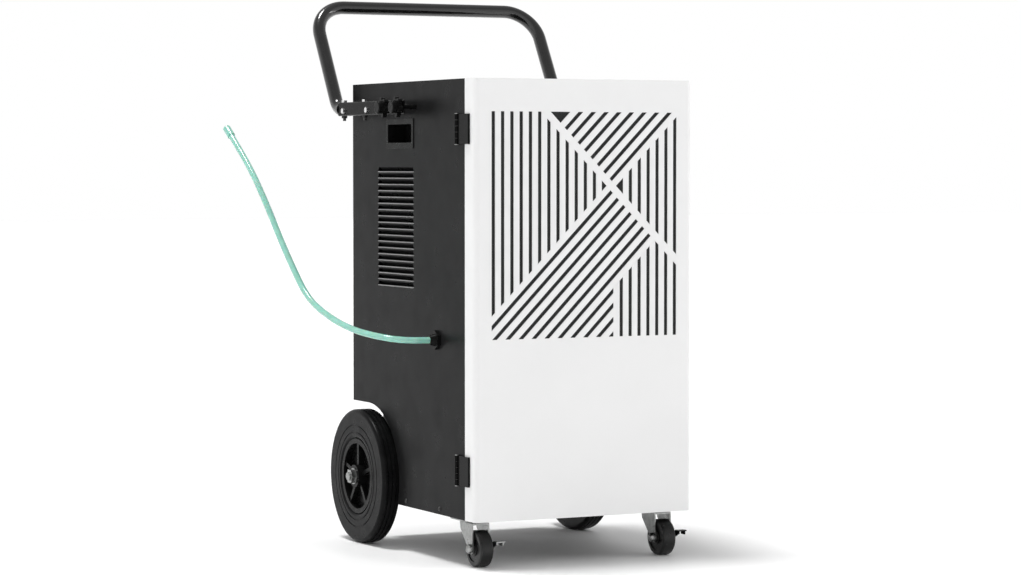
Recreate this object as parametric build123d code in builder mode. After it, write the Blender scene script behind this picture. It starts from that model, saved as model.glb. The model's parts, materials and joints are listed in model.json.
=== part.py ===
from build123d import *
import os
from math import cos, pi, radians, sin, sqrt, tan

# Wheeled dehumidifier: sheet-metal cabinet on two large rear wheels and two front swivel
# casters, hinged front door with a slotted air grille, and a U handle that folds back.
# Frame: +Z up, -Y towards the door, origin on the floor under the middle of the object.

# ---------------------------------------------------------------- driving dimensions (mm)
body_width = 433.0
body_depth = 526.0          # door face to rear panel
body_height = 773.0
floor_gap = 84.0            # floor to the cabinet's underside
sheet = 1.5                 # cabinet sheet thickness
flange = 14.0               # width of the folded edges
base_sheet = 2.0
base_rim = 22.0
cover_lip = 12.0            # the top cover's folded rim

door_depth = 40.6
door_seam = 1.0             # gap between the door and the cabinet
door_edge_r = 11.0

grille_width = 368.8
grille_height = 397.5
grille_drop = 57.5          # from the cabinet's top to the grille's upper edge
slot_width = 6.8
slot_pitch = 18.1

louvre_count = 19
louvre_pitch = 11.64
louvre_length = 160.0
louvre_gap = 7.6
louvre_y = 331.5            # middle of the louvres, behind the door face
louvre_drop = 155.0         # from the cabinet's top to the first louvre

grip_length = 118.0
grip_height = 55.0
grip_depth = 36.0
grip_y = 311.5
grip_drop = 93.5            # from the cabinet's top to the grip's middle
grip_wall = 1.6

wheel_d = 250.0
wheel_width = 36.5
wheel_y = 456.0             # axle, behind the door face
wheel_proud = 26.0          # tyre's outer face, outboard of the cabinet side
axle_d = 16.0
arch_gap = 12.0

caster_d = 65.0
caster_width = 25.0
caster_inset = 33.0         # swivel axis, inboard of the cabinet side
caster_swivel_y = 78.0
caster_trail = 28.0         # axle ahead of the swivel axis
caster_axle_d = 8.0

tube_d = 25.0
handle_proud = 19.9         # middle of each arm, outboard of the cabinet side
handle_drop = 46.5          # from the cabinet's top to the arms
leg_lean = 31.2             # degrees from vertical
leg_length = 232.7
elbow_y = 549.5
elbow_r = 36.0
grip_corner_r = 64.0
arm_height = 25.6
arm_thick = 19.0
arm_front_y = 232.0
pivot_y = 306.0             # rear knob, which the handle folds about
lock_y = 245.0              # front knob
knob_d = 38.0

hinge_height = 53.0
hinge_rise = 86.6           # from the cabinet's underside to the lower hinge
hinge_drop = 88.0           # from the cabinet's top to the upper hinge
hinge_barrel_d = 8.0
hinge_y = 65.0
hinge_knuckles = 5

screw_r = 2.0
screw_head_r = 4.2
screw_head_t = 2.0
screw_length = 4.2

hose_d = 11.5
drain_y = 154.0

# ---------------------------------------------------------------- clearances (mm)
slip = 0.3                  # pieces that slide together
running = 0.05              # radial, shafts in their bores
swing = 0.8                 # faces that pass each other

# ---------------------------------------------------------------- derived places
tube_r = tube_d / 2
leg_run = leg_length * sin(radians(leg_lean))
overall_depth = elbow_y + leg_run + tube_r
front = -overall_depth / 2
rear = front + body_depth
side = body_width / 2
bottom = floor_gap
top = floor_gap + body_height
panel_top = top - sheet      # the top cover lies on the side panels' upper edges
cab_front = front + door_depth + door_seam
inner = side - sheet
grille_bottom = top - grille_drop - grille_height
louvre_top = top - louvre_drop
grip_z = top - grip_drop
caster_x = side - caster_inset
handle_x = side + handle_proud
handle_z = top - handle_drop
hinge_z = (bottom + hinge_rise, top - hinge_drop)
drain_z = grille_bottom - 7.0
handle_bar_z = handle_z + leg_length * cos(radians(leg_lean))
axle_y = front + wheel_y
axle_z = wheel_d / 2
wheel_x = side + wheel_proud - wheel_width / 2
arch_r = wheel_d / 2 + arch_gap
arch_top = axle_z + arch_r
well_depth = 60.0
well_x = side - well_depth
swivel_y = front + caster_swivel_y
caster_y = swivel_y - caster_trail
caster_z = caster_d / 2
drain_at = (-side, front + drain_y, drain_z)

panel_rear = rear - sheet     # the rear panel lies on the side panels' folded edges
side_screw_ys = (front + 144.0, front + 287.0)
side_screw_z = bottom + 10.0
rear_screw_x = side - 8.0
rear_screw_zs = [arch_top + 20.0 + i * (panel_top - arch_top - 44.0) / 3 for i in range(4)]

os.makedirs("parts", exist_ok=True)


def save(part, label):
    part.label = label
    export_step(part, f"parts/{label}.step")


def mirrored(part):
    """The same piece on the other side of the centre plane."""
    with BuildPart() as other:
        mirror(part, about=Plane.YZ)
    return other.part


def row(count, pitch):
    """Evenly spaced values about zero."""
    return [(i - (count - 1) / 2) * pitch for i in range(count)]


# ================================================================ cabinet
pan_half = inner - slip
pan_front = cab_front + sheet + slip
pan_rear = panel_rear - sheet - slip
notch_half = well_x - sheet - slip
notch_y = axle_y - arch_r - sheet - slip

caster_bolt_gap = 44.0      # bolt square of each caster plate
caster_bolt_d = 6.0
hanger_width = 44.0
hanger_thick = 3.0
hanger_x = notch_half - hanger_thick - 2.0      # the axle's hangers, from the centre plane

with BuildPart() as base_pan:
    with BuildSketch(Plane.XY.offset(bottom)) as pan_outline:
        Polygon(
            (-pan_half, pan_front), (pan_half, pan_front), (pan_half, notch_y), (notch_half, notch_y),
            (notch_half, pan_rear), (-notch_half, pan_rear), (-notch_half, notch_y), (-pan_half, notch_y),
            align=None,
        )
    extrude(amount=base_rim)
    with BuildSketch(Plane.XY.offset(bottom + base_sheet)):
        offset(pan_outline.sketch, amount=-base_sheet, kind=Kind.INTERSECTION)
    extrude(amount=base_rim, mode=Mode.SUBTRACT)
    with Locations(*[(x, swivel_y, bottom) for x in (-caster_x, caster_x)]):
        with GridLocations(caster_bolt_gap, caster_bolt_gap, 2, 2):
            Hole(caster_bolt_d / 2 + slip, depth=base_sheet * 3)
    # welded hangers that carry the axle
    with BuildSketch(Plane.YZ.offset(hanger_x)):
        with Locations((axle_y, bottom + base_sheet / 2)):
            Rectangle(hanger_width, axle_z - bottom, align=(Align.CENTER, Align.MIN))
        with Locations((axle_y, axle_z)):
            Circle(hanger_width / 2)
            Circle(axle_d / 2 + slip, mode=Mode.SUBTRACT)
    hanger = extrude(amount=hanger_thick, mode=Mode.PRIVATE)
    add(hanger)
    mirror(hanger, about=Plane.YZ)
    with Locations(*[Location((0, y, side_screw_z), (0, 90, 0)) for y in side_screw_ys]):
        Cylinder(screw_r + slip, body_width, mode=Mode.SUBTRACT)
save(base_pan.part, "base_pan")

grip_hole = (grip_length - 12.0, grip_height - 18.0)
barrel_x = side + hinge_barrel_d / 2 + 0.2
knob_hole_r = 4.2
gland_hole_r = 8.2

with BuildPart() as right_side_panel:
    with BuildSketch(Plane.YZ.offset(inner)):
        with Locations(((cab_front + panel_rear) / 2, (bottom + panel_top) / 2)):
            Rectangle(panel_rear - cab_front, panel_top - bottom)
        with Locations((axle_y, axle_z)):
            Circle(arch_r, mode=Mode.SUBTRACT)
        with Locations(((axle_y + rear) / 2 + 1, (bottom + arch_top) / 2 - 1)):
            Rectangle(rear - axle_y + 2, arch_top - bottom + 2, mode=Mode.SUBTRACT)
        with Locations((front + grip_y, grip_z)):
            RectangleRounded(*grip_hole, 4.0, mode=Mode.SUBTRACT)
        with Locations(*[(front + y, handle_z) for y in (pivot_y, lock_y)]):
            Circle(knob_hole_r, mode=Mode.SUBTRACT)
        with Locations(*[(front + louvre_y, louvre_top - louvre_gap / 2 - i * louvre_pitch)
                         for i in range(louvre_count)]):
            Trapezoid(louvre_length, louvre_gap, 55, mode=Mode.SUBTRACT)
    extrude(amount=sheet)
    # folded edges at the front and, above the arch, the rear
    with Locations((inner, cab_front, bottom)):
        Box(flange, sheet, panel_top - bottom, align=(Align.MAX, Align.MIN, Align.MIN))
    with Locations((inner, panel_rear, arch_top + sheet + slip)):
        Box(flange, sheet, panel_top - arch_top - sheet - slip, align=(Align.MAX, Align.MAX, Align.MIN))
    with Locations(*[Location((side, y, side_screw_z), (0, 90, 0)) for y in side_screw_ys]):
        Cylinder(screw_r + slip, 4 * sheet, mode=Mode.SUBTRACT)
    with Locations(*[Location((rear_screw_x, rear, z), (90, 0, 0)) for z in rear_screw_zs]):
        Cylinder(screw_r + slip, 6 * sheet, mode=Mode.SUBTRACT)
    # each louvre's blade, pressed inwards from the upper edge of its slot
    blade_length = louvre_length - 2 * louvre_gap
    blade_reach = 7.0
    blade_fall = 6.5
    blade_tops = [louvre_top - i * louvre_pitch for i in range(louvre_count)]
    for z in blade_tops:
        with BuildSketch(Plane.XZ.offset(-(front + louvre_y + blade_length / 2))):
            Polygon((side - 0.4, z), (side - 0.4, z + sheet), (inner - blade_reach, z - blade_fall + sheet),
                    (inner - blade_reach, z - blade_fall), align=None)
        extrude(amount=blade_length)
save(right_side_panel.part, "right_side_panel")

with BuildPart() as left_side_panel:
    mirror(right_side_panel.part, about=Plane.YZ)
    with Locations(Location((-inner, front + drain_y, drain_z), (0, 90, 0))):
        Cylinder(gland_hole_r, sheet * 6, mode=Mode.SUBTRACT)
save(left_side_panel.part, "left_side_panel")

vent_width = 60.0
vent_height = 5.0
vent_z = top - 257.0
power_x = 120.0
power_z = 210.0

with BuildPart() as rear_panel:
    # the upper part covers the sides' folded edges, the lower part fits between the wheel wells
    with BuildSketch(Plane.XZ.offset(-rear)):
        with Locations((0, (arch_top + panel_top) / 2)):
            Rectangle(body_width, panel_top - arch_top)
        with Locations((0, (bottom + panel_top) / 2)):
            Rectangle(2 * notch_half, panel_top - bottom)
        with Locations((0, vent_z)):
            with GridLocations(vent_width + 20.0, 3 * vent_height, 4, 9):
                SlotOverall(vent_width, vent_height, mode=Mode.SUBTRACT)
        with Locations((power_x, power_z)):
            Circle(gland_hole_r, mode=Mode.SUBTRACT)
        with Locations(*[(sign * rear_screw_x, z) for sign in (-1, 1) for z in rear_screw_zs]):
            Circle(screw_r + slip, mode=Mode.SUBTRACT)
    extrude(amount=sheet)
save(rear_panel.part, "rear_panel")

# the filter's duct: a flat frame behind the sides' folded edges, with a sleeve towards the door
duct_width = grille_width + 4.0
duct_height = grille_height + 4.0
duct_z = grille_bottom + grille_height / 2
duct_reach = 27.0
frame_y = cab_front + sheet

with BuildPart() as front_frame:
    with BuildSketch(Plane.XZ.offset(-frame_y)):
        with Locations((0, (bottom + base_rim + slip + panel_top - cover_lip - slip) / 2)):
            Rectangle(2 * pan_half, panel_top - cover_lip - bottom - base_rim - 2 * slip)
        with Locations((0, duct_z)):
            Rectangle(duct_width, duct_height, mode=Mode.SUBTRACT)
    extrude(amount=-sheet)
    with BuildSketch(Plane.XZ.offset(-frame_y - sheet)):
        with Locations((0, duct_z)):
            Rectangle(duct_width + 2 * sheet, duct_height + 2 * sheet)
            Rectangle(duct_width, duct_height, mode=Mode.SUBTRACT)
    extrude(amount=duct_reach + sheet)
save(front_frame.part, "front_frame")

panel_size = (226.0, 112.0)
panel_y = front + 190.0
panel_cut = (panel_size[0] - 12.0, panel_size[1] - 12.0)

with BuildPart() as top_cover:
    with BuildSketch(Plane.XY.offset(panel_top)):
        with Locations((0, (cab_front + rear) / 2)):
            Rectangle(body_width, rear - cab_front)
        with Locations((0, panel_y)):
            RectangleRounded(*panel_cut, 6.0, mode=Mode.SUBTRACT)
    extrude(amount=sheet)
    with BuildSketch(Plane.XY.offset(panel_top)):
        with Locations((0, (pan_front + pan_rear) / 2)):
            Rectangle(2 * pan_half, pan_rear - pan_front)
            Rectangle(2 * (pan_half - sheet), pan_rear - pan_front - 2 * sheet, mode=Mode.SUBTRACT)
    extrude(amount=-cover_lip)
save(top_cover.part, "top_cover")

with BuildPart() as right_well:
    with BuildSketch(Plane.YZ.offset(well_x - sheet)):
        with Locations((axle_y, axle_z)):
            Circle(arch_r + sheet)
        with Locations((axle_y, bottom)):
            Rectangle(pan_rear - axle_y, arch_top + sheet - bottom, align=(Align.MIN, Align.MIN))
        with Locations((axle_y, bottom + wheel_d)):
            Rectangle(3 * wheel_d, 2 * wheel_d, mode=Mode.INTERSECT)
        with Locations((pan_rear, axle_z)):
            Rectangle(2 * wheel_d, 2 * wheel_d, align=(Align.MIN, Align.CENTER), mode=Mode.SUBTRACT)
    extrude(amount=pan_half - well_x + sheet)
    with BuildSketch(Plane.YZ.offset(well_x)):
        with Locations((axle_y, axle_z)):
            Circle(arch_r)
        with Locations((axle_y, bottom - 1)):
            Rectangle(pan_rear - axle_y + 1, arch_top - bottom + 1, align=(Align.MIN, Align.MIN))
    extrude(amount=well_depth, mode=Mode.SUBTRACT)
    with Locations(Location((well_x, axle_y, axle_z), (0, 90, 0))):
        Cylinder(axle_d / 2 + slip, sheet * 4, mode=Mode.SUBTRACT)

with BuildPart() as wheel_wells:
    add(right_well.part)
    mirror(right_well.part, about=Plane.YZ)
save(wheel_wells.part, "wheel_wells")

with BuildPart() as right_grip:
    with BuildSketch(Plane.YZ.offset(side)):
        with Locations((front + grip_y, grip_z)):
            RectangleRounded(grip_length, grip_height, 4.5)
    extrude(amount=grip_wall)
    with BuildSketch(Plane.YZ.offset(side - grip_depth)):
        with Locations((front + grip_y, grip_z)):
            RectangleRounded(grip_hole[0] - 2 * slip, grip_hole[1] - 2 * slip, 4.0)
    extrude(amount=grip_depth)
    with BuildSketch(Plane.YZ.offset(side - grip_depth + grip_wall)):
        with Locations((front + grip_y, grip_z)):
            RectangleRounded(grip_hole[0] - 2 * grip_wall - 2 * slip,
                             grip_hole[1] - 2 * grip_wall - 2 * slip, 3.0)
    extrude(amount=grip_depth + grip_wall, mode=Mode.SUBTRACT)
    fillet(right_grip.faces().sort_by(Axis.X)[-1].edges(), 0.7)

with BuildPart() as grip_cups:
    add(right_grip.part)
    mirror(right_grip.part, about=Plane.YZ)
save(grip_cups.part, "grip_cups")

# ---------------------------------------------------------------- controls on the top cover
fascia_thick = 3.2
window_size = (92.0, 34.0)
window_y = panel_y + 20.0
window_lip = 1.2
button_d = 18.0
button_y = panel_y - 26.0
button_proud = 1.8
button_names = ("power_button", "up_button", "down_button", "drain_button")
button_xs = row(len(button_names), 40.0)
fascia_top = top + fascia_thick

with BuildPart() as control_panel:
    with BuildSketch(Plane.XY.offset(top)):
        with Locations((0, panel_y)):
            RectangleRounded(*panel_size, 12.0)
    extrude(amount=fascia_thick)
    fillet(control_panel.faces().sort_by(Axis.Z)[-1].edges(), 1.2)
    with BuildSketch(Plane.XY.offset(top - 9.0)):
        with Locations((0, panel_y)):
            RectangleRounded(panel_cut[0] - 2 * slip, panel_cut[1] - 2 * slip, 6.0)
            RectangleRounded(panel_cut[0] - 6.0, panel_cut[1] - 6.0, 3.0, mode=Mode.SUBTRACT)
    extrude(amount=9.0)
    with BuildSketch(Plane.XY.offset(top - 1)):
        with Locations((0, window_y)):
            Rectangle(window_size[0] - 2 * window_lip, window_size[1] - 2 * window_lip)
        with Locations(*[(x, button_y) for x in button_xs]):
            Circle(button_d / 2 + slip)
    extrude(amount=fascia_thick + 2, mode=Mode.SUBTRACT)
    with BuildSketch(Plane.XY.offset(fascia_top - window_lip)):
        with Locations((0, window_y)):
            Rectangle(window_size[0] + slip, window_size[1] + slip)
    extrude(amount=window_lip * 2, mode=Mode.SUBTRACT)
save(control_panel.part, "control_panel")

with BuildPart() as display_window:
    with BuildSketch(Plane.XY.offset(fascia_top - window_lip)):
        with Locations((0, window_y)):
            Rectangle(window_size[0], window_size[1])
    extrude(amount=window_lip - 0.2)
save(display_window.part, "display_window")

for name, x in zip(button_names, button_xs):
    with BuildPart() as button:
        with Locations((x, button_y, top - 3.0)):
            Cylinder(button_d / 2, 3.0 + fascia_thick + button_proud,
                     align=(Align.CENTER, Align.CENTER, Align.MIN))
        fillet(button.faces().sort_by(Axis.Z)[-1].edges(), 0.8)
        with Locations((x, button_y, top - 0.3)):
            Cylinder(button_d / 2 + 2.0, 1.5, align=(Align.CENTER, Align.CENTER, Align.MAX))
    save(button.part, name)

# ================================================================ door
door_back = front + door_depth

# The grille is five fields of slots. Two plain bands cross it: one falls to the right, the
# other rises to the right and stops at the first. u runs right and w runs up, both from the
# grille's lower left corner, so a falling edge has a fixed u + w and a rising edge a fixed w - u.
band = slot_pitch - slot_width
fall_low = 494.5            # u + w along the falling band's lower edge
fall_high = fall_low + band * sqrt(2) + 2.4
rise_high = 40.3            # w - u along the rising band's upper edge
rise_low = rise_high - band * sqrt(2) - 2.8
short_edge = 154.7          # u - w along the lower right field's upper edge
diagonal_pitch = slot_pitch * sqrt(2)
diagonal_height = slot_width * sqrt(2)
left_columns = 12           # whole slots in the upper left field
split_column = 14           # first column of the right-hand fields
last_column = 20
split_u = split_column * slot_pitch
low_split_u = split_u - 12.2                # right edge of the lower left field
low_start = 15.1 - 10 * diagonal_pitch      # w - u of the lowest diagonal slot
low_diagonals = 11
high_start = rise_high - 2.3
high_diagonals = 9
corner_cut = 39.3           # width of the small triangle at the upper edge
cross_u = (fall_low - rise_high) / 2        # where the bands' edges cross
cross_w = (fall_low + rise_high) / 2
right_u = (fall_high - rise_low) / 2
right_w = (fall_high + rise_low) / 2
short_u = (fall_low + short_edge) / 2
short_w = (fall_low - short_edge) / 2
high_u = (fall_high - rise_high) / 2 + 1.2
high_w = (fall_high + rise_high) / 2 - 1.2


def columns(first, last):
    """Upright slots over the whole height."""
    places = [(i * slot_pitch + slot_width / 2, grille_height / 2) for i in range(first, last + 1)]
    with Locations(*places):
        Rectangle(slot_width, grille_height)


def diagonals(first_offset, count):
    """Slots that rise to the right at 45 degrees; each starts at w - u = its offset."""
    reach = 2 * grille_width
    for i in range(count):
        low = first_offset + i * diagonal_pitch
        high = low + diagonal_height
        Polygon((-reach, low - reach), (reach, low + reach), (reach, high + reach),
                (-reach, high - reach), align=None)


def keep(*corners):
    Polygon(*corners, align=None, mode=Mode.INTERSECT)


grille_plane = Plane(origin=(-grille_width / 2, front, grille_bottom), x_dir=(1, 0, 0), z_dir=(0, -1, 0))

with BuildPart() as door_shell:
    with BuildSketch(Plane.XY.offset(bottom)) as door_outline:
        with Locations((0, front)):
            Rectangle(body_width, door_depth, align=(Align.CENTER, Align.MIN))
        fillet(door_outline.vertices().group_by(Axis.Y)[0], door_edge_r)
    extrude(amount=body_height)
    with BuildSketch(Plane.XY.offset(bottom + sheet)) as door_hollow:
        with Locations((0, front + sheet)):
            Rectangle(body_width - 2 * sheet, door_depth, align=(Align.CENTER, Align.MIN))
        fillet(door_hollow.vertices().group_by(Axis.Y)[0], door_edge_r - sheet)
    extrude(amount=body_height - 2 * sheet, mode=Mode.SUBTRACT)

    with BuildSketch(grille_plane) as upper_left_slots:
        columns(0, left_columns - 1)
        with Locations((left_columns * slot_pitch, grille_height / 2)):
            Rectangle(slot_pitch, grille_height, align=(Align.MIN, Align.CENTER))
        keep((0, rise_high), (cross_u, cross_w), (fall_low - grille_height, grille_height),
             (0, grille_height))
    with BuildSketch(grille_plane) as upper_slots:
        diagonals(high_start, high_diagonals)
        corner_u = fall_high - grille_height
        Polygon((corner_u, grille_height), (corner_u + corner_cut, grille_height),
                (corner_u + corner_cut / 2, grille_height - corner_cut / 2), align=None)
        keep((corner_u, grille_height), (high_u, high_w), (grille_height - high_start, grille_height))
    with BuildSketch(grille_plane) as right_slots:
        columns(split_column + 1, last_column)
        with Locations((split_u + slot_width, grille_height / 2)):
            Rectangle(2 * slot_pitch, grille_height, align=(Align.MAX, Align.CENTER))
        keep((right_u, right_w), (grille_width, grille_width + rise_low),
             (grille_width, fall_high - grille_width))
    with BuildSketch(grille_plane) as lower_left_slots:
        diagonals(low_start, low_diagonals)
        keep((0, 0), (low_split_u, 0), (low_split_u, low_split_u - short_edge), (short_u, short_w),
             (cross_u, cross_w), (0, rise_high))
    with BuildSketch(grille_plane) as lower_right_slots:
        columns(split_column, last_column)
        keep((split_u, 0), (grille_width, 0), (grille_width, fall_low - grille_width),
             (short_u, short_w), (split_u, split_u - short_edge))
    for field in (upper_left_slots, upper_slots, right_slots, lower_left_slots, lower_right_slots):
        extrude(field.sketch, amount=-2 * sheet, mode=Mode.SUBTRACT)
save(door_shell.part, "door_shell")

mesh_border = 6.0
mesh_sheet = 0.8
mesh_y = front + sheet + slip

with BuildPart() as door_mesh:
    with BuildSketch(Plane.XZ.offset(-mesh_y)):
        with Locations((0, duct_z)):
            Rectangle(grille_width + 2 * mesh_border, grille_height + 2 * mesh_border)
            with GridLocations(8.0, grille_height / 3, int(grille_width // 8), 3):
                Rectangle(5.0, grille_height / 3 - 4.0, mode=Mode.SUBTRACT)
    extrude(amount=-mesh_sheet)
save(door_mesh.part, "door_mesh")

seal_width = 9.0
seal_y = mesh_y + mesh_sheet
seal_thick = front_frame.part.bounding_box().min.Y - seal_y - 0.4

with BuildPart() as door_seal:
    with BuildSketch(Plane.XZ.offset(-seal_y)):
        with Locations((0, duct_z)):
            Rectangle(duct_width + 2 * seal_width, duct_height + 2 * seal_width)
            Rectangle(duct_width - 2.0, duct_height - 2.0, mode=Mode.SUBTRACT)
    extrude(amount=-seal_thick)
save(door_seal.part, "door_seal")

# ---------------------------------------------------------------- door hinges, left edge
leaf = 1.6
knuckle = hinge_height / hinge_knuckles
knuckle_gap = 0.3
pin_r = 2.2
barrel_r = hinge_barrel_d / 2
hinge_at = (-barrel_x, front + hinge_y)
body_leaf_front = cab_front + 2.0
door_leaf_front = front + 20.0
door_leaf_x = side + leaf + swing


def knuckles(centre_z, numbers):
    """The barrel's sections of one leaf, bored for the pin."""
    for n in numbers:
        low = centre_z - hinge_height / 2 + n * knuckle + knuckle_gap / 2
        with Locations((*hinge_at, low)):
            Cylinder(barrel_r, knuckle - knuckle_gap, align=(Align.CENTER, Align.CENTER, Align.MIN))


def clear_knuckles(centre_z, numbers):
    """Room in this leaf for the other leaf's sections, and the bore for the pin."""
    for n in numbers:
        low = centre_z - hinge_height / 2 + n * knuckle - knuckle_gap / 2
        with Locations((*hinge_at, low)):
            Cylinder(barrel_r + swing, knuckle + knuckle_gap, align=(Align.CENTER, Align.CENTER, Align.MIN),
                     mode=Mode.SUBTRACT)
    with Locations((*hinge_at, centre_z)):
        Cylinder(pin_r + running, hinge_height + 2, mode=Mode.SUBTRACT)


with BuildPart() as body_hinge_leaves:
    for z in hinge_z:
        with Locations((-side, body_leaf_front, z)):
            Box(leaf, hinge_at[1] + 2.0 - body_leaf_front, hinge_height - knuckle_gap,
                align=(Align.MAX, Align.MIN, Align.CENTER))
        knuckles(z, (0, 2, 4))
        clear_knuckles(z, (1, 3))
save(body_hinge_leaves.part, "body_hinge_leaves")

with BuildPart() as door_hinge_leaves:
    for z in hinge_z:
        with Locations((-door_leaf_x, door_leaf_front, z)):
            Box(leaf, hinge_at[1] - 2.5 - door_leaf_front, hinge_height - knuckle_gap,
                align=(Align.MAX, Align.MIN, Align.CENTER))
        with Locations((-side, door_leaf_front, z)):
            Box(door_leaf_x - side, door_back - 2.0 - door_leaf_front, hinge_height - knuckle_gap,
                align=(Align.MAX, Align.MIN, Align.CENTER))
        knuckles(z, (1, 3))
        clear_knuckles(z, (0, 2, 4))
save(door_hinge_leaves.part, "door_hinge_leaves")

with BuildPart() as hinge_pins:
    for z in hinge_z:
        with Locations((*hinge_at, z)):
            Cylinder(pin_r, hinge_height)
        with Locations(*[(*hinge_at, z + end * (hinge_height / 2 + 0.6)) for end in (-1, 1)]):
            Cylinder(pin_r + 1.2, 1.2)
save(hinge_pins.part, "hinge_pins")

# ================================================================ air path
filter_depth = 12.0
filter_y = frame_y - duct_reach + 2.0
filter_bar = 9.0

with BuildPart() as filter_part:
    with BuildSketch(Plane.XZ.offset(-filter_y)):
        with Locations((0, duct_z)):
            Rectangle(duct_width - 2 * slip, duct_height - 2 * slip)
            with GridLocations(duct_width / 4, duct_height / 4, 4, 4):
                Rectangle(duct_width / 4 - filter_bar, duct_height / 4 - filter_bar, mode=Mode.SUBTRACT)
    extrude(amount=-filter_depth)
    with BuildSketch(Plane.XZ.offset(-filter_y - filter_depth / 2)):
        with Locations((0, duct_z)):
            Rectangle(duct_width - 2, duct_height - 2)
    extrude(amount=-1.2)
save(filter_part.part, "air_filter")

tray_floor = grille_bottom - 30.0
tray_wall = 2.0
tray_height = 24.0
tray_front = frame_y + sheet + 6.0
tray_depth = 124.0
tray_left = 47.0 - inner
tray_right = inner - 23.0

with BuildPart() as drip_tray:
    with BuildSketch(Plane.XY.offset(tray_floor)):
        with Locations((tray_left, tray_front)):
            Rectangle(tray_right - tray_left, tray_depth, align=(Align.MIN, Align.MIN))
    extrude(amount=tray_height)
    with BuildSketch(Plane.XY.offset(tray_floor + tray_wall)):
        with Locations((tray_left + tray_wall, tray_front + tray_wall)):
            Rectangle(tray_right - tray_left - 2 * tray_wall, tray_depth - 2 * tray_wall,
                      align=(Align.MIN, Align.MIN))
    extrude(amount=tray_height, mode=Mode.SUBTRACT)
save(drip_tray.part, "drip_tray")

coil_width = tray_right - tray_left - 40.0
coil_height = grille_height + 14.5
coil_depth = 40.0
coil_x = (tray_left + tray_right) / 2
coil_z = tray_floor + tray_wall
fin_pitch = 10.0
fin_groove = 5.0
bend_pitch = 44.0
coil_tube_d = 9.5
bend_out = 14.0             # how far the return bends stand out of the fin pack


def coil(y):
    """Fin pack with a groove between each pair of fins, and return bends at both ends."""
    fins = int(coil_width // fin_pitch)
    with BuildPart() as pack:
        with Locations((coil_x, y, coil_z)):
            Box(coil_width, coil_depth, coil_height, align=(Align.CENTER, Align.MIN, Align.MIN))
        groove_z = coil_z + coil_height / 2
        with Locations((coil_x, y, groove_z), (coil_x, y + coil_depth, groove_z)):
            with GridLocations(fin_pitch, 1, fins, 1):
                Box(fin_groove, 8.0, coil_height - 12.0, mode=Mode.SUBTRACT)
        bends = int(coil_height // bend_pitch) - 1
        for end in (-1, 1):
            for n in range(bends):
                z = coil_z + 26.0 + n * bend_pitch
                start = coil_x + end * (coil_width / 2 - 2.0)
                out = coil_x + end * (coil_width / 2 + bend_out)
                with BuildLine() as bend:
                    FilletPolyline((start, y + coil_depth / 2, z), (out, y + coil_depth / 2, z),
                                   (out, y + coil_depth / 2, z + bend_pitch / 2),
                                   (start, y + coil_depth / 2, z + bend_pitch / 2), radius=9.0)
                with BuildSketch(Plane(origin=bend.line @ 0, z_dir=bend.line % 0)):
                    Circle(coil_tube_d / 2)
                sweep(path=bend.line)
    return pack.part


evaporator_y = tray_front + 12.0
condenser_y = evaporator_y + coil_depth + 16.0
save(coil(evaporator_y), "evaporator")
save(coil(condenser_y), "condenser")

can_d = 150.0
can_height = 250.0
can_at = (70.0, front + 290.0)
foot_height = 16.0
foot_pcd = 190.0
foot_plate = 3.0
can_bottom = bottom + base_sheet + foot_height
can_top = can_bottom + can_height

pipe_d = 9.5
pipe_hole_r = pipe_d / 2 + 1.5
discharge_from = (can_at[0] - 30.0, can_at[1] - 20.0, can_top - 6.0)
suction_from = (can_at[0] + 50.0, can_at[1] - 10.0, can_top - 20.0)
discharge_z = coil_z + 40.0
suction_z = coil_z + 58.0

fan_d = 286.0
fan_z = top - 257.0
fan_gap = 4.0
shroud_y = tray_front + tray_depth + 10.0
shroud_low = bottom + base_sheet
ring_depth = 34.0
motor_d = 104.0
motor_length = 76.0
motor_gap = 44.0            # shroud plate to the motor's front
strap_width = 30.0
strap_thick = 3.0
shaft_d = 12.0
hub_d = 76.0
hub_depth = 30.0
blade_count = 6
motor_y = shroud_y + motor_gap
strap_y = motor_y + motor_length

with BuildPart() as fan_shroud:
    # the bulkhead that carries the fan, from the base to the cover, folded back at its foot
    with BuildSketch(Plane.XZ.offset(-shroud_y)):
        with Locations((0, shroud_low)):
            Rectangle(2 * (pan_half - base_sheet - slip), panel_top - cover_lip - slip - shroud_low,
                      align=(Align.CENTER, Align.MIN))
        with Locations((0, fan_z)):
            Circle(fan_d / 2 + fan_gap, mode=Mode.SUBTRACT)
        with Locations((discharge_from[0], discharge_z), (suction_from[0], suction_z)):
            Circle(pipe_hole_r, mode=Mode.SUBTRACT)
    extrude(amount=-sheet)
    with BuildSketch(Plane.XZ.offset(-shroud_y)):
        with Locations((0, fan_z)):
            Circle(fan_d / 2 + fan_gap + sheet)
            Circle(fan_d / 2 + fan_gap, mode=Mode.SUBTRACT)
    extrude(amount=-ring_depth)
    # motor strap across the ring
    strap_half = fan_d / 2 + 24.0
    with Locations((0, strap_y, fan_z)):
        Box(2 * strap_half, strap_thick, strap_width, align=(Align.CENTER, Align.MIN, Align.CENTER))
    for end in (-1, 1):
        with Locations((end * strap_half, shroud_y, fan_z)):
            Box(strap_thick, strap_y - shroud_y + strap_thick, strap_width,
                align=(Align.CENTER, Align.MIN, Align.CENTER))
save(fan_shroud.part, "fan_shroud")

with BuildPart() as fan_motor:
    with BuildSketch(Plane.XZ.offset(-motor_y)):
        with Locations((0, fan_z)):
            Circle(motor_d / 2)
    extrude(amount=-motor_length)
    fillet(fan_motor.edges().filter_by(GeomType.CIRCLE), 6.0)
    with BuildSketch(Plane.XZ.offset(-motor_y + 1)):
        with Locations((0, fan_z)):
            Circle(shaft_d / 2 + running)
    extrude(amount=-motor_length / 2, mode=Mode.SUBTRACT)
save(fan_motor.part, "fan_motor")

impeller_y = shroud_y + 6.0

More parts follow.
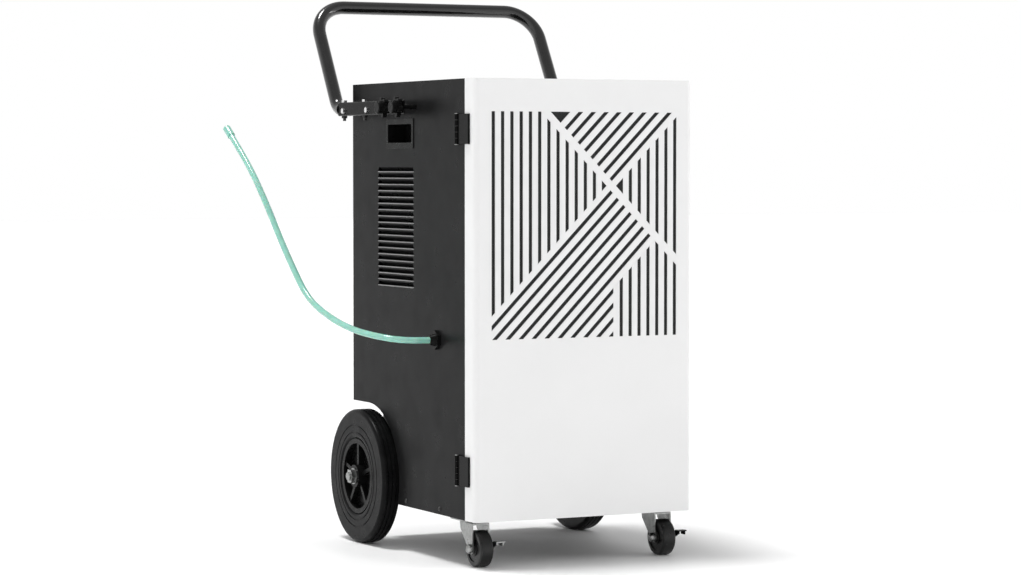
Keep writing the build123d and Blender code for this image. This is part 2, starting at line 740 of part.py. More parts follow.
with BuildPart() as fan_impeller:
    with BuildSketch(Plane.XZ.offset(-impeller_y)):
        with Locations((0, fan_z)):
            Circle(hub_d / 2)
    extrude(amount=-hub_depth)
    fillet(fan_impeller.faces().sort_by(Axis.Y)[0].edges(), 6.0)
    with BuildSketch(Plane.XZ.offset(-impeller_y - hub_depth + 1)):
        with Locations((0, fan_z)):
            Circle(shaft_d / 2)
    extrude(amount=-(motor_y - impeller_y - hub_depth + motor_length / 2 - 4.0))
    blade_span = (fan_d - hub_d) / 2
    for n in range(blade_count):
        turn = 360 / blade_count * n
        blade_plane = Plane(Location((0, impeller_y + hub_depth / 2, fan_z), (0, turn, 0)))
        with Locations(blade_plane.location * Location((0, 0, hub_d / 2 - 3.0), (0, 0, 24))):
            Box(74.0, 3.0, blade_span + 1.5, align=(Align.CENTER, Align.CENTER, Align.MIN))
    # the blades' tips run just inside the ring
    with BuildSketch(Plane.XZ.offset(-impeller_y + 20)):
        with Locations((0, fan_z)):
            Circle(fan_d / 2)
    extrude(amount=-(motor_length + motor_gap + 40), mode=Mode.INTERSECT)
save(fan_impeller.part, "fan_impeller")

# ================================================================ refrigeration and water
with BuildPart() as compressor:
    with BuildSketch(Plane.XY.offset(can_bottom)):
        with Locations(can_at):
            Circle(can_d / 2)
    extrude(amount=can_height)
    fillet(compressor.edges().filter_by(GeomType.CIRCLE).sort_by(Axis.Z)[-1:], 48.0)
    fillet(compressor.edges().filter_by(GeomType.CIRCLE).sort_by(Axis.Z)[:1], 18.0)
    with BuildSketch(Plane.XY.offset(can_bottom)):
        with Locations(can_at):
            with PolarLocations(foot_pcd / 2, 3, start_angle=90):
                Circle(18.0)
            RegularPolygon(foot_pcd / 2 + 4, 3, rotation=90)
            with PolarLocations(foot_pcd / 2, 3, start_angle=90):
                Circle(5.5, mode=Mode.SUBTRACT)
    extrude(amount=foot_plate)
save(compressor.part, "compressor")

with BuildPart() as compressor_feet:
    with Locations((*can_at, bottom + base_sheet)):
        with PolarLocations(foot_pcd / 2, 3, start_angle=90):
            Cylinder(15.0, foot_height, align=(Align.CENTER, Align.CENTER, Align.MIN))
            Cylinder(5.2, foot_height + foot_plate, align=(Align.CENTER, Align.CENTER, Align.MIN))
    with Locations((*can_at, can_bottom + foot_plate)):
        with PolarLocations(foot_pcd / 2, 3, start_angle=90):
            Cylinder(9.0, 4.0, align=(Align.CENTER, Align.CENTER, Align.MIN))
save(compressor_feet.part, "compressor_feet")


def bent_pipe(points, diameter, radius):
    with BuildPart() as pipe:
        with BuildLine() as route:
            FilletPolyline(*points, radius=radius)
        with BuildSketch(Plane(origin=route.line @ 0, z_dir=route.line % 0)):
            Circle(diameter / 2)
        sweep(path=route.line)
    return pipe.part


pipe_back = shroud_y + 40.0
discharge_route = [
    discharge_from, (discharge_from[0], discharge_from[1], can_top + 30.0),
    (discharge_from[0], pipe_back, can_top + 30.0), (discharge_from[0], pipe_back, discharge_z),
    (discharge_from[0], condenser_y + coil_depth, discharge_z),
]
suction_route = [
    suction_from, (suction_from[0], suction_from[1], can_top + 16.0),
    (suction_from[0], pipe_back - 12.0, can_top + 16.0), (suction_from[0], pipe_back - 12.0, suction_z),
    (suction_from[0], condenser_y + coil_depth, suction_z),
]

with BuildPart() as refrigerant_pipes:
    # discharge, suction and the expansion tube between the coils
    add(bent_pipe(discharge_route, pipe_d, 14.0))
    add(bent_pipe(suction_route, pipe_d, 14.0))
    with Locations((coil_x - 90.0, evaporator_y + coil_depth, coil_z + coil_height - 60.0)):
        with Locations(Location((0, 0, 0), (-90, 0, 0))):
            Cylinder(pipe_d / 2, condenser_y - evaporator_y - coil_depth,
                     align=(Align.CENTER, Align.CENTER, Align.MIN))
save(refrigerant_pipes.part, "refrigerant_pipes")

pump_size = (90.0, 54.0, 56.0)
pump_x = -104.0
pump_y = front + drain_y
outlet_z = tray_floor - 26.0
outlet_d = 9.5
outlet_r = 12.0
rise_x = 27.0 - inner
gland_inside = 12.5         # how far the gland reaches into the cabinet
gland_outside = 16.0

with BuildPart() as drain_pump:
    with BuildSketch(Plane.XY.offset(tray_floor - pump_size[2])):
        with Locations((pump_x, pump_y)):
            RectangleRounded(pump_size[0], pump_size[1], 8.0)
    extrude(amount=pump_size[2])
    with Locations((pump_x, pump_y, tray_floor - pump_size[2])):
        Cylinder(22.0, 34.0, align=(Align.CENTER, Align.CENTER, Align.MAX))
save(drain_pump.part, "drain_pump")

outlet_route = [
    (pump_x - pump_size[0] / 2, pump_y, outlet_z), (rise_x, pump_y, outlet_z), (rise_x, pump_y, drain_z),
    (-side + gland_inside, pump_y, drain_z),
]
save(bent_pipe(outlet_route, outlet_d, outlet_r), "pump_outlet")


def gland(plane, reach_in, reach_out, hex_af, cap_r, bore_r):
    """Cable gland on a panel face: hexagon, tapered cap, thread and inner nut, bored through."""
    with BuildPart() as body:
        with BuildSketch(plane):
            RegularPolygon(hex_af / 2, 6, major_radius=False, rotation=30)
        extrude(amount=6.0)
        with BuildSketch(plane.offset(6.0)):
            Circle(cap_r)
        with BuildSketch(plane.offset(reach_out)):
            Circle(cap_r - 3.0)
        loft()
        with BuildSketch(plane.offset(-reach_in)):
            Circle(8.0)
        extrude(amount=reach_in)
        with BuildSketch(plane.offset(-sheet - 5.0)):
            RegularPolygon(11.0, 6, major_radius=False)
        extrude(amount=5.0)
        with BuildSketch(plane.offset(-reach_in - 1)):
            Circle(bore_r)
        extrude(amount=reach_in + reach_out + 2, mode=Mode.SUBTRACT)
    return body.part


left_face = Plane(origin=drain_at, x_dir=(0, 1, 0), z_dir=(-1, 0, 0))
rear_face = Plane(origin=(power_x, rear, power_z), x_dir=(1, 0, 0), z_dir=(0, 1, 0))
save(gland(left_face, gland_inside, gland_outside, 30.0, 11.5, 4.0), "drain_gland")
save(gland(rear_face, gland_inside, gland_outside, 26.0, 10.5, 5.0), "power_gland")

control_size = (220.0, 140.0, 62.0)
control_z = top - 81.0

with BuildPart() as control_box:
    with BuildSketch(Plane.XY.offset(control_z)):
        with Locations((0, shroud_y + sheet)):
            Rectangle(control_size[0], control_size[1], align=(Align.CENTER, Align.MIN))
    extrude(amount=control_size[2])
    chamfer(control_box.edges().filter_by(Axis.Z), 4.0)
save(control_box.part, "control_box")

with BuildPart() as panel_screws:
    for sign in (-1, 1):
        for y in side_screw_ys:
            with Locations(Location((sign * side, y, side_screw_z), (0, sign * 90, 0))):
                Cylinder(screw_head_r, screw_head_t, align=(Align.CENTER, Align.CENTER, Align.MIN))
                Cylinder(screw_r, screw_length, align=(Align.CENTER, Align.CENTER, Align.MAX))
        for z in rear_screw_zs:
            with Locations(Location((sign * rear_screw_x, rear, z), (-90, 0, 0))):
                Cylinder(screw_head_r, screw_head_t, align=(Align.CENTER, Align.CENTER, Align.MIN))
                Cylinder(screw_r, screw_length, align=(Align.CENTER, Align.CENTER, Align.MAX))
save(panel_screws.part, "panel_screws")

# ================================================================ handle
bar_y = front + elbow_y + leg_run
arm_front = front + arm_front_y
arm_rear = front + elbow_y - elbow_r * tan(radians((90 - leg_lean) / 2)) - 0.4
arm_outer = handle_x + arm_thick / 2
arm_inner = handle_x - arm_thick / 2
arm_wall = 2.0
spigot_r = arm_thick / 2 - arm_wall - slip
spigot_length = 112.0
tube_wall = 2.0
upright_bolt_ys = (arm_rear - 9.0, arm_rear - 104.0)
cross_bolt_ys = (arm_rear - 28.0, arm_rear - 136.0)
cross_bolt_z = handle_z - 3.5
bolt_r = 3.0
bolt_af = 10.0
bolt_head = 4.0
bolt_stub = 9.0

with BuildPart() as handle_tube:
    with BuildLine() as handle_route:
        FilletPolyline(
            (-handle_x, arm_rear, handle_z), (-handle_x, front + elbow_y, handle_z),
            (-handle_x, bar_y, handle_bar_z), (handle_x, bar_y, handle_bar_z),
            (handle_x, front + elbow_y, handle_z), (handle_x, arm_rear, handle_z),
            radius=[elbow_r, grip_corner_r, grip_corner_r, elbow_r],
        )
    with BuildSketch(Plane(origin=handle_route.line @ 0, z_dir=handle_route.line % 0)):
        Circle(tube_r)
        Circle(tube_r - tube_wall, mode=Mode.SUBTRACT)
    sweep(path=handle_route.line)
    for sign in (-1, 1):
        with Locations(Location((sign * handle_x, arm_rear, handle_z), (-90, 0, 0))):
            Cylinder(tube_r - 0.6, tube_wall, align=(Align.CENTER, Align.CENTER, Align.MIN))
            Cylinder(spigot_r, spigot_length, align=(Align.CENTER, Align.CENTER, Align.MAX))
        with Locations(*[(sign * handle_x, y, handle_z) for y in upright_bolt_ys]):
            Cylinder(bolt_r + slip, arm_height, mode=Mode.SUBTRACT)
        with Locations(Location((sign * handle_x, cross_bolt_ys[0], cross_bolt_z), (0, 90, 0))):
            Cylinder(bolt_r + slip, arm_height, mode=Mode.SUBTRACT)
save(handle_tube.part, "handle_tube")

stud_r = 4.0

with BuildPart() as right_arm:
    with BuildSketch(Plane.XZ.offset(-arm_front)):
        with Locations((handle_x, handle_z)):
            RectangleRounded(arm_thick, arm_height, 3.0)
            RectangleRounded(arm_thick - 2 * arm_wall, arm_height - 2 * arm_wall, 1.0, mode=Mode.SUBTRACT)
    extrude(amount=-(arm_rear - 0.4 - arm_front))
    # ahead of the pivot only the outer wall goes on, as a flat plate
    with Locations((arm_outer - arm_wall, arm_front, handle_z)):
        Box(arm_thick, pivot_y - 16.0 - arm_front_y, 2 * arm_height,
            align=(Align.MAX, Align.MIN, Align.CENTER), mode=Mode.SUBTRACT)
    with Locations(*[(handle_x, y, handle_z) for y in upright_bolt_ys]):
        Cylinder(bolt_r + slip, arm_height * 2, mode=Mode.SUBTRACT)
    with Locations(*[Location((handle_x, y, cross_bolt_z), (0, 90, 0)) for y in cross_bolt_ys]):
        Cylinder(bolt_r + slip, arm_thick * 2, mode=Mode.SUBTRACT)
    with Locations(*[Location((handle_x, front + y, handle_z), (0, 90, 0)) for y in (pivot_y, lock_y)]):
        Cylinder(stud_r + running, arm_thick * 2, mode=Mode.SUBTRACT)
save(right_arm.part, "right_arm")
save(mirrored(right_arm.part), "left_arm")

with BuildPart() as arm_bolts:
    for sign in (-1, 1):
        for y in upright_bolt_ys:
            with BuildSketch(Plane.XY.offset(handle_z + arm_height / 2)):
                with Locations((sign * handle_x, y)):
                    RegularPolygon(bolt_af / 2, 6, major_radius=False)
            extrude(amount=bolt_head)
            with BuildSketch(Plane.XY.offset(handle_z - arm_height / 2)):
                with Locations((sign * handle_x, y)):
                    RegularPolygon(bolt_af / 2, 6, major_radius=False)
            extrude(amount=-bolt_head)
            with Locations((sign * handle_x, y, handle_z + arm_height / 2)):
                Cylinder(bolt_r, arm_height + bolt_stub, align=(Align.CENTER, Align.CENTER, Align.MAX))
        for y in cross_bolt_ys:
            with BuildSketch(Plane.YZ.offset(sign * arm_outer)):
                with Locations((y, cross_bolt_z)):
                    RegularPolygon(bolt_af / 2, 6, major_radius=False, rotation=30)
            extrude(amount=sign * bolt_head)
            with BuildSketch(Plane.YZ.offset(sign * arm_inner)):
                with Locations((y, cross_bolt_z)):
                    RegularPolygon(bolt_af / 2, 6, major_radius=False, rotation=30)
            extrude(amount=-sign * bolt_head)
            with Locations(Location((sign * handle_x, y, cross_bolt_z), (0, 90, 0))):
                Cylinder(bolt_r, arm_thick + 1.0)
save(arm_bolts.part, "arm_bolts")

knob_hub_r = 9.0
knob_hub = 3.0
knob_star = 8.0
knob_cap_r = 11.5
knob_cap = 9.0
stud_in_knob = knob_hub + knob_star
lobe_r = 5.5
lobes = 6


def knob(y):
    """Star knob on the right-hand arm: hub, lobed grip and a plain round cap, on a blind bore."""
    base = Plane.YZ.offset(arm_outer + slip)
    with BuildPart() as grip:
        with BuildSketch(base):
            with Locations((y, handle_z)):
                Circle(knob_hub_r)
        extrude(amount=knob_hub)
        with BuildSketch(base.offset(knob_hub)):
            with Locations((y, handle_z)):
                Circle(knob_d / 2 - lobe_r)
                with PolarLocations(knob_d / 2 - lobe_r, lobes, start_angle=15):
                    Circle(lobe_r)
        extrude(amount=knob_star)
        with BuildSketch(base.offset(knob_hub + knob_star)):
            with Locations((y, handle_z)):
                Circle(knob_cap_r)
        extrude(amount=knob_cap)
        fillet(grip.faces().sort_by(Axis.X)[-1].edges(), 2.0)
    return grip


with BuildPart() as right_pivot_knob:
    add(knob(front + pivot_y).part)
    with Locations(Location((arm_outer, front + pivot_y, handle_z), (0, 90, 0))):
        Cylinder(stud_r + running, 2 * stud_in_knob, mode=Mode.SUBTRACT)
save(right_pivot_knob.part, "right_pivot_knob")
save(mirrored(right_pivot_knob.part), "left_pivot_knob")

# the lock knob carries its own stud, drawn back so that its tip clears the panel
with BuildPart() as right_lock_knob:
    add(knob(front + lock_y).part)
    with Locations(Location((side + swing, front + lock_y, handle_z), (0, 90, 0))):
        Cylinder(stud_r, arm_outer - side + knob_hub, align=(Align.CENTER, Align.CENTER, Align.MIN))
save(right_lock_knob.part, "right_lock_knob")
save(mirrored(right_lock_knob.part), "left_lock_knob")

collar_r = 8.0

with BuildPart() as right_stud:
    with Locations(Location((inner - 4.0, front + pivot_y, handle_z), (0, 90, 0))):
        Cylinder(collar_r, 4.0, align=(Align.CENTER, Align.CENTER, Align.MIN))
        Cylinder(stud_r, arm_outer + stud_in_knob - inner + 3.0,
                 align=(Align.CENTER, Align.CENTER, Align.MIN))
    with Locations(Location((side, front + pivot_y, handle_z), (0, 90, 0))):
        Cylinder(collar_r, arm_inner - slip - side, align=(Align.CENTER, Align.CENTER, Align.MIN))

with BuildPart() as pivot_studs:
    add(right_stud.part)
    mirror(right_stud.part, about=Plane.YZ)
save(pivot_studs.part, "pivot_studs")

# ================================================================ rear wheels
rim_d = 140.0
hub_width = 44.0
groove_rs = (rim_d / 2 + 12.0, rim_d / 2 + 25.0)
boss_r = 21.0
web_thick = 6.0
spokes = 5
nut_af = 24.0
nut_thick = 8.0
washer_r = 15.0
axle_stub = 4.0
hub_face = wheel_x + hub_width / 2
axle_half = hub_face + 2.0 + nut_thick + axle_stub
wheel_axis = Axis((0, axle_y, axle_z), (1, 0, 0))
wheel_section = Plane(origin=(wheel_x, axle_y, axle_z), x_dir=(1, 0, 0), z_dir=(0, -1, 0))

with BuildPart() as right_tyre:
    with BuildSketch(wheel_section) as tread:
        with Locations((0, rim_d / 2)):
            Rectangle(wheel_width, (wheel_d - rim_d) / 2, align=(Align.CENTER, Align.MIN))
        fillet(tread.vertices().group_by(Axis.Z)[-1], 7.0)
        with Locations(*[(x, wheel_d / 2) for x in row(3, 8.0)]):
            Rectangle(1.8, 5.0, mode=Mode.SUBTRACT)
        with Locations(*[(sign * wheel_width / 2, r) for sign in (-1, 1) for r in groove_rs]):
            Rectangle(2.4, 2.2, mode=Mode.SUBTRACT)
    revolve(axis=wheel_axis)
save(right_tyre.part, "right_tyre")
save(mirrored(right_tyre.part), "left_tyre")

with BuildPart() as right_hub:
    with BuildSketch(wheel_section):
        with Locations((0, rim_d / 2 - 9.0)):
            Rectangle(wheel_width - 3.0, 9.0, align=(Align.CENTER, Align.MIN))
        with Locations((0, boss_r / 2)):
            Rectangle(web_thick, rim_d / 2 - boss_r / 2 - 4.0, align=(Align.CENTER, Align.MIN))
        with Locations((0, axle_d / 2 + running)):
            Rectangle(hub_width, boss_r - axle_d / 2 - running, align=(Align.CENTER, Align.MIN))
    revolve(axis=wheel_axis)
    with BuildSketch(Plane.YZ.offset(wheel_x - wheel_width / 2 + 4.0)):
        with Locations((axle_y, axle_z)):
            with PolarLocations(rim_d / 4 + 2, spokes, start_angle=90):
                Rectangle(rim_d / 2 - 20.0, 7.0)
    extrude(amount=wheel_width - 8.0)
    with Locations(Location((wheel_x, axle_y, axle_z), (0, 90, 0))):
        Cylinder(axle_d / 2 + running, hub_width + 2, mode=Mode.SUBTRACT)
save(right_hub.part, "right_hub")
save(mirrored(right_hub.part), "left_hub")

with BuildPart() as rear_axle:
    with Locations(Location((0, axle_y, axle_z), (0, 90, 0))):
        Cylinder(axle_d / 2, 2 * axle_half)
    chamfer(rear_axle.edges().filter_by(GeomType.CIRCLE), 1.5)
save(rear_axle.part, "rear_axle")

with BuildPart() as axle_nuts:
    for sign in (-1, 1):
        with Locations(Location((sign * (hub_face + slip), axle_y, axle_z), (0, sign * 90, 0))):
            Cylinder(washer_r, 1.7, align=(Align.CENTER, Align.CENTER, Align.MIN))
        with BuildSketch(Plane.YZ.offset(sign * (hub_face + 1.9))):
            with Locations((axle_y, axle_z)):
                RegularPolygon(nut_af / 2, 6, major_radius=False)
        extrude(amount=sign * nut_thick)
    with Locations(Location((0, axle_y, axle_z), (0, 90, 0))):
        Cylinder(axle_d / 2 + 0.02, 4 * side, mode=Mode.SUBTRACT)
save(axle_nuts.part, "axle_nuts")

# ================================================================ front casters
plate_size = 62.0
plate_thick = 2.5
race_r = 17.0
crown_top = bottom - plate_thick - 4.5
crown_thick = 3.0
cheek = 2.5
cheek_in = caster_width / 2 + 2.0
cheek_out = cheek_in + cheek
kingpin_r = 5.0
head_r = 7.0
fork_back = swivel_y + 17.0
fork_low = caster_z - 9.0
lever_gap = 0.3
lever_thick = 2.5

with BuildPart() as caster_plates:
    for x in (-caster_x, caster_x):
        with BuildSketch(Plane.XY.offset(bottom)):
            with Locations((x, swivel_y)):
                RectangleRounded(plate_size, plate_size, 5.0)
        extrude(amount=-plate_thick)
        with Locations((x, swivel_y, bottom - plate_thick)):
            Cylinder(race_r, bottom - plate_thick - crown_top - swing / 2,
                     align=(Align.CENTER, Align.CENTER, Align.MAX))
            Cylinder(kingpin_r, bottom - plate_thick - crown_top + crown_thick + swing / 2,
                     align=(Align.CENTER, Align.CENTER, Align.MAX))
        with Locations((x, swivel_y, crown_top - crown_thick - swing / 2)):
            Cylinder(kingpin_r + 3.0, 2.4, align=(Align.CENTER, Align.CENTER, Align.MAX))
        with Locations((x, swivel_y, bottom)):
            with GridLocations(caster_bolt_gap, caster_bolt_gap, 2, 2):
                Cylinder(caster_bolt_d / 2, base_sheet + 7.0, align=(Align.CENTER, Align.CENTER, Align.MIN))
        with Locations((x, swivel_y, bottom + base_sheet)):
            with GridLocations(caster_bolt_gap, caster_bolt_gap, 2, 2):
                Cylinder(5.5, 4.5, align=(Align.CENTER, Align.CENTER, Align.MIN))
save(caster_plates.part, "caster_plates")


def fork(x):
    """Pressed fork that trails forward from its swivel, with the riveted axle."""
    with BuildPart() as body:
        with BuildSketch(Plane.YZ.offset(x - cheek_out)):
            with BuildLine():
                Polyline(
                    (caster_y - 4.0, crown_top), (fork_back, crown_top), (fork_back - 3.0, crown_top - 13.0),
                    (caster_y + 9.0, caster_z - 3.0), (caster_y + 3.0, fork_low),
                    (caster_y - 4.0, fork_low), (caster_y - 8.0, caster_z - 3.0),
                    (caster_y - 6.0, caster_z + 14.0), (caster_y - 4.0, crown_top),
                )
            make_face()
        extrude(amount=cheek)
        add(body.part.moved(Location((cheek_out + cheek_in, 0, 0))))
        with Locations((x, caster_y - 4.0, crown_top)):
            Box(2 * cheek_out, fork_back - caster_y + 4.0, crown_thick,
                align=(Align.CENTER, Align.MIN, Align.MAX))
        with Locations((x, swivel_y, crown_top)):
            Cylinder(kingpin_r + running, 4 * crown_thick, mode=Mode.SUBTRACT)
        with Locations(Location((x, caster_y, caster_z), (0, 90, 0))):
            Cylinder(caster_axle_d / 2, 2 * cheek_out)
        with Locations(Location((x - cheek_out, caster_y, caster_z), (0, 90, 0))):
            Cylinder(head_r, 4.0, align=(Align.CENTER, Align.CENTER, Align.MAX))
        with Locations(Location((x + cheek_out, caster_y, caster_z), (0, 90, 0))):
            Cylinder(head_r, lever_thick + 2 * lever_gap, align=(Align.CENTER, Align.CENTER, Align.MIN))
        cap_x = x + cheek_out + lever_thick + 2 * lever_gap
        with Locations(Location((cap_x, caster_y, caster_z), (0, 90, 0))):
            Cylinder(head_r + 2.0, 2.0, align=(Align.CENTER, Align.CENTER, Align.MIN))
    return body.part


def caster_wheel(x):
    section = Plane(origin=(x, caster_y, caster_z), x_dir=(1, 0, 0), z_dir=(0, -1, 0))
    with BuildPart() as wheel:
        with BuildSketch(section) as profile:
            with Locations((0, caster_axle_d / 2 + running)):
                Rectangle(caster_width, caster_d / 2 - caster_axle_d / 2 - running,
                          align=(Align.CENTER, Align.MIN))
            fillet(profile.vertices().group_by(Axis.Z)[-1], 4.0)
            with Locations(*[(sign * caster_width / 2, caster_d / 2 - 9.0) for sign in (-1, 1)]):
                Rectangle(3.6, 11.0, align=(Align.CENTER, Align.MAX), mode=Mode.SUBTRACT)
        revolve(axis=Axis((x, caster_y, caster_z), (1, 0, 0)))
    return wheel.part


def pedal(x):
    """Side lever around the axle's head, with a tab to tread on."""
    lever_x = x + cheek_out + lever_gap
    tab_y = caster_y - 32.0
    tab_z = caster_z + 14.0
    with BuildPart() as lever:
        with BuildSketch(Plane.YZ.offset(lever_x)):
            with Locations((caster_y, caster_z)):
                Circle(head_r + 4.0)
            Polygon((caster_y, caster_z - 8.0), (tab_y, caster_z + 8.0), (tab_y, tab_z),
                    (caster_y, caster_z + 10.0), align=None)
            with Locations((caster_y, caster_z)):
                Circle(head_r + running, mode=Mode.SUBTRACT)
        extrude(amount=lever_thick)
        with Locations((lever_x, tab_y, tab_z)):
            Box(17.0, 13.0, 2.2, align=(Align.MIN, Align.MIN, Align.MAX))
        with Locations((lever_x + 12.0, tab_y, tab_z)):
            Box(2.2, 13.0, 8.0, align=(Align.MIN, Align.MIN, Align.MAX))
    return lever.part


for name, x in (("left", -caster_x), ("right", caster_x)):
    save(fork(x), f"{name}_caster_fork")
    save(caster_wheel(x), f"{name}_caster_wheel")
    save(pedal(x), f"{name}_caster_pedal")

# ================================================================ drain hose
# The hose leaves the gland sideways, turns to the rear and rises to the fitting that hooks it up.
gland_mouth = (-side - gland_outside, front + drain_y, drain_z)
hose_points = [
    gland_mouth,
    (gland_mouth[0] - 47.0, front + drain_y, drain_z),
    (-side - 102.5, front + 187.0, drain_z + 7.0),
    (-side - 121.5, front + 262.0, drain_z + 17.0),
    (-side - 135.5, front + 339.0, drain_z + 39.0),
    (-side - 144.5, front + 405.0, drain_z + 68.0),
    (-side - 150.5, front + 457.0, drain_z + 119.0),
    (-side - 156.5, front + 508.0, drain_z + 176.0),
    (-side - 163.5, front + 566.0, drain_z + 247.0),
    (-side - 169.5, front + 634.0, drain_z + 314.0),
    (-side - 175.5, front + 704.0, drain_z + 366.0),
]


def corner_radii(points):
    """Largest tangent arc at each corner: 0.45 of the shorter run over the half turn's tangent."""
    radii = []
    for before, at, after in zip(points, points[1:], points[2:]):
        run_in = Vector(*at) - Vector(*before)
        run_out = Vector(*after) - Vector(*at)
        half_turn = radians(run_in.get_angle(run_out)) / 2
        radii.append(0.45 * min(run_in.length, run_out.length) / tan(half_turn))
    return radii


hose_radii = corner_radii(hose_points)

with BuildPart() as drain_hose:
    with BuildLine() as hose_route:
        FilletPolyline(*hose_points, radius=hose_radii)
    with BuildSketch(Plane(origin=hose_route.line @ 0, z_dir=hose_route.line % 0)):
        Circle(hose_d / 2)
    sweep(path=hose_route.line)
save(drain_hose.part, "drain_hose")

hose_length = sum(edge.length for edge in hose_route.edges())
hose_section = pi * (hose_d / 2) ** 2
print("hose radii", [round(r) for r in hose_radii])
print("hose runs", [round((Vector(*b) - Vector(*a)).length) for a, b in zip(hose_points, hose_points[1:])])
print("hose length", round(hose_length, 1))
print("hose volume / section x length", round(drain_hose.part.volume / (hose_section * hose_length), 4))

cuff_r = hose_d / 2 + 1.8
cuff_length = 26.0
hose_end = hose_route.line @ 1
hose_end_dir = hose_route.line % 1

with BuildPart() as hose_cuff:
    with BuildSketch(Plane(origin=hose_end, z_dir=hose_end_dir)):
        Circle(cuff_r)
    extrude(amount=cuff_length)
    with BuildSketch(Plane(origin=hose_end + hose_end_dir * cuff_length, z_dir=hose_end_dir)):
        Circle(cuff_r - 4.0)
    extrude(amount=-cuff_length + 4.0, mode=Mode.SUBTRACT)
    fillet(hose_cuff.edges().filter_by(GeomType.CIRCLE).sort_by(SortBy.RADIUS)[-2:], 1.0)
save(hose_cuff.part, "hose_cuff")
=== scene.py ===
import json
from math import cos, pi, radians, sin

import bmesh
import bpy
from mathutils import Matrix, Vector


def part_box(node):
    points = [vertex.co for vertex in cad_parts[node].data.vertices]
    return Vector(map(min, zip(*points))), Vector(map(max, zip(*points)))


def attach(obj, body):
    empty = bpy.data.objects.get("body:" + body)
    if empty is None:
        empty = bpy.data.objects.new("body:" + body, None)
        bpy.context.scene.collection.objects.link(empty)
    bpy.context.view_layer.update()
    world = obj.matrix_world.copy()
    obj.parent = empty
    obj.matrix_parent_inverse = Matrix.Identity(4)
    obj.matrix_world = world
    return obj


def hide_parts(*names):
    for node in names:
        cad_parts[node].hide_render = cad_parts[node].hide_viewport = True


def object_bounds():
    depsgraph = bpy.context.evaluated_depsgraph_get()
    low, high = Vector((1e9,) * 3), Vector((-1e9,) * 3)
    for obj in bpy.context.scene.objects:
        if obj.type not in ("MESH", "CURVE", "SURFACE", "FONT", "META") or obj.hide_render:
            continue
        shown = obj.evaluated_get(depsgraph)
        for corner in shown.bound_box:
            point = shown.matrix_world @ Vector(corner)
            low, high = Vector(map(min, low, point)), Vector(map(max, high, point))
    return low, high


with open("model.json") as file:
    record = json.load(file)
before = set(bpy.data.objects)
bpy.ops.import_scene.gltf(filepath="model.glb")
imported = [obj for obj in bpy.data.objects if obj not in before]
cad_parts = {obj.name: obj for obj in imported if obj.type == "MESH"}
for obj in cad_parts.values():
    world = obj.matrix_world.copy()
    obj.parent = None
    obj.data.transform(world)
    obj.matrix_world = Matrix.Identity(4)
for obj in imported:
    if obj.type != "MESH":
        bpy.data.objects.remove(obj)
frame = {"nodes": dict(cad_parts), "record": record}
nodes = frame["nodes"]
cad_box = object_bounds()
scene = bpy.context.scene


# ---------------------------------------------------------------- camera
def add_camera():
    data = bpy.data.cameras.new("camera")
    data.lens = 105.0
    data.sensor_width = 36.0
    data.clip_end = 100.0
    camera = bpy.data.objects.new("camera", data)
    camera.location = (-2.4711, -4.9768, 0.7084)
    camera.rotation_euler = (radians(90.0 - 2.38), 0.0, radians(-26.62))
    scene.collection.objects.link(camera)
    scene.camera = camera


add_camera()


# ---------------------------------------------------------------- materials
GRAIN_DEPTH = 0.0004


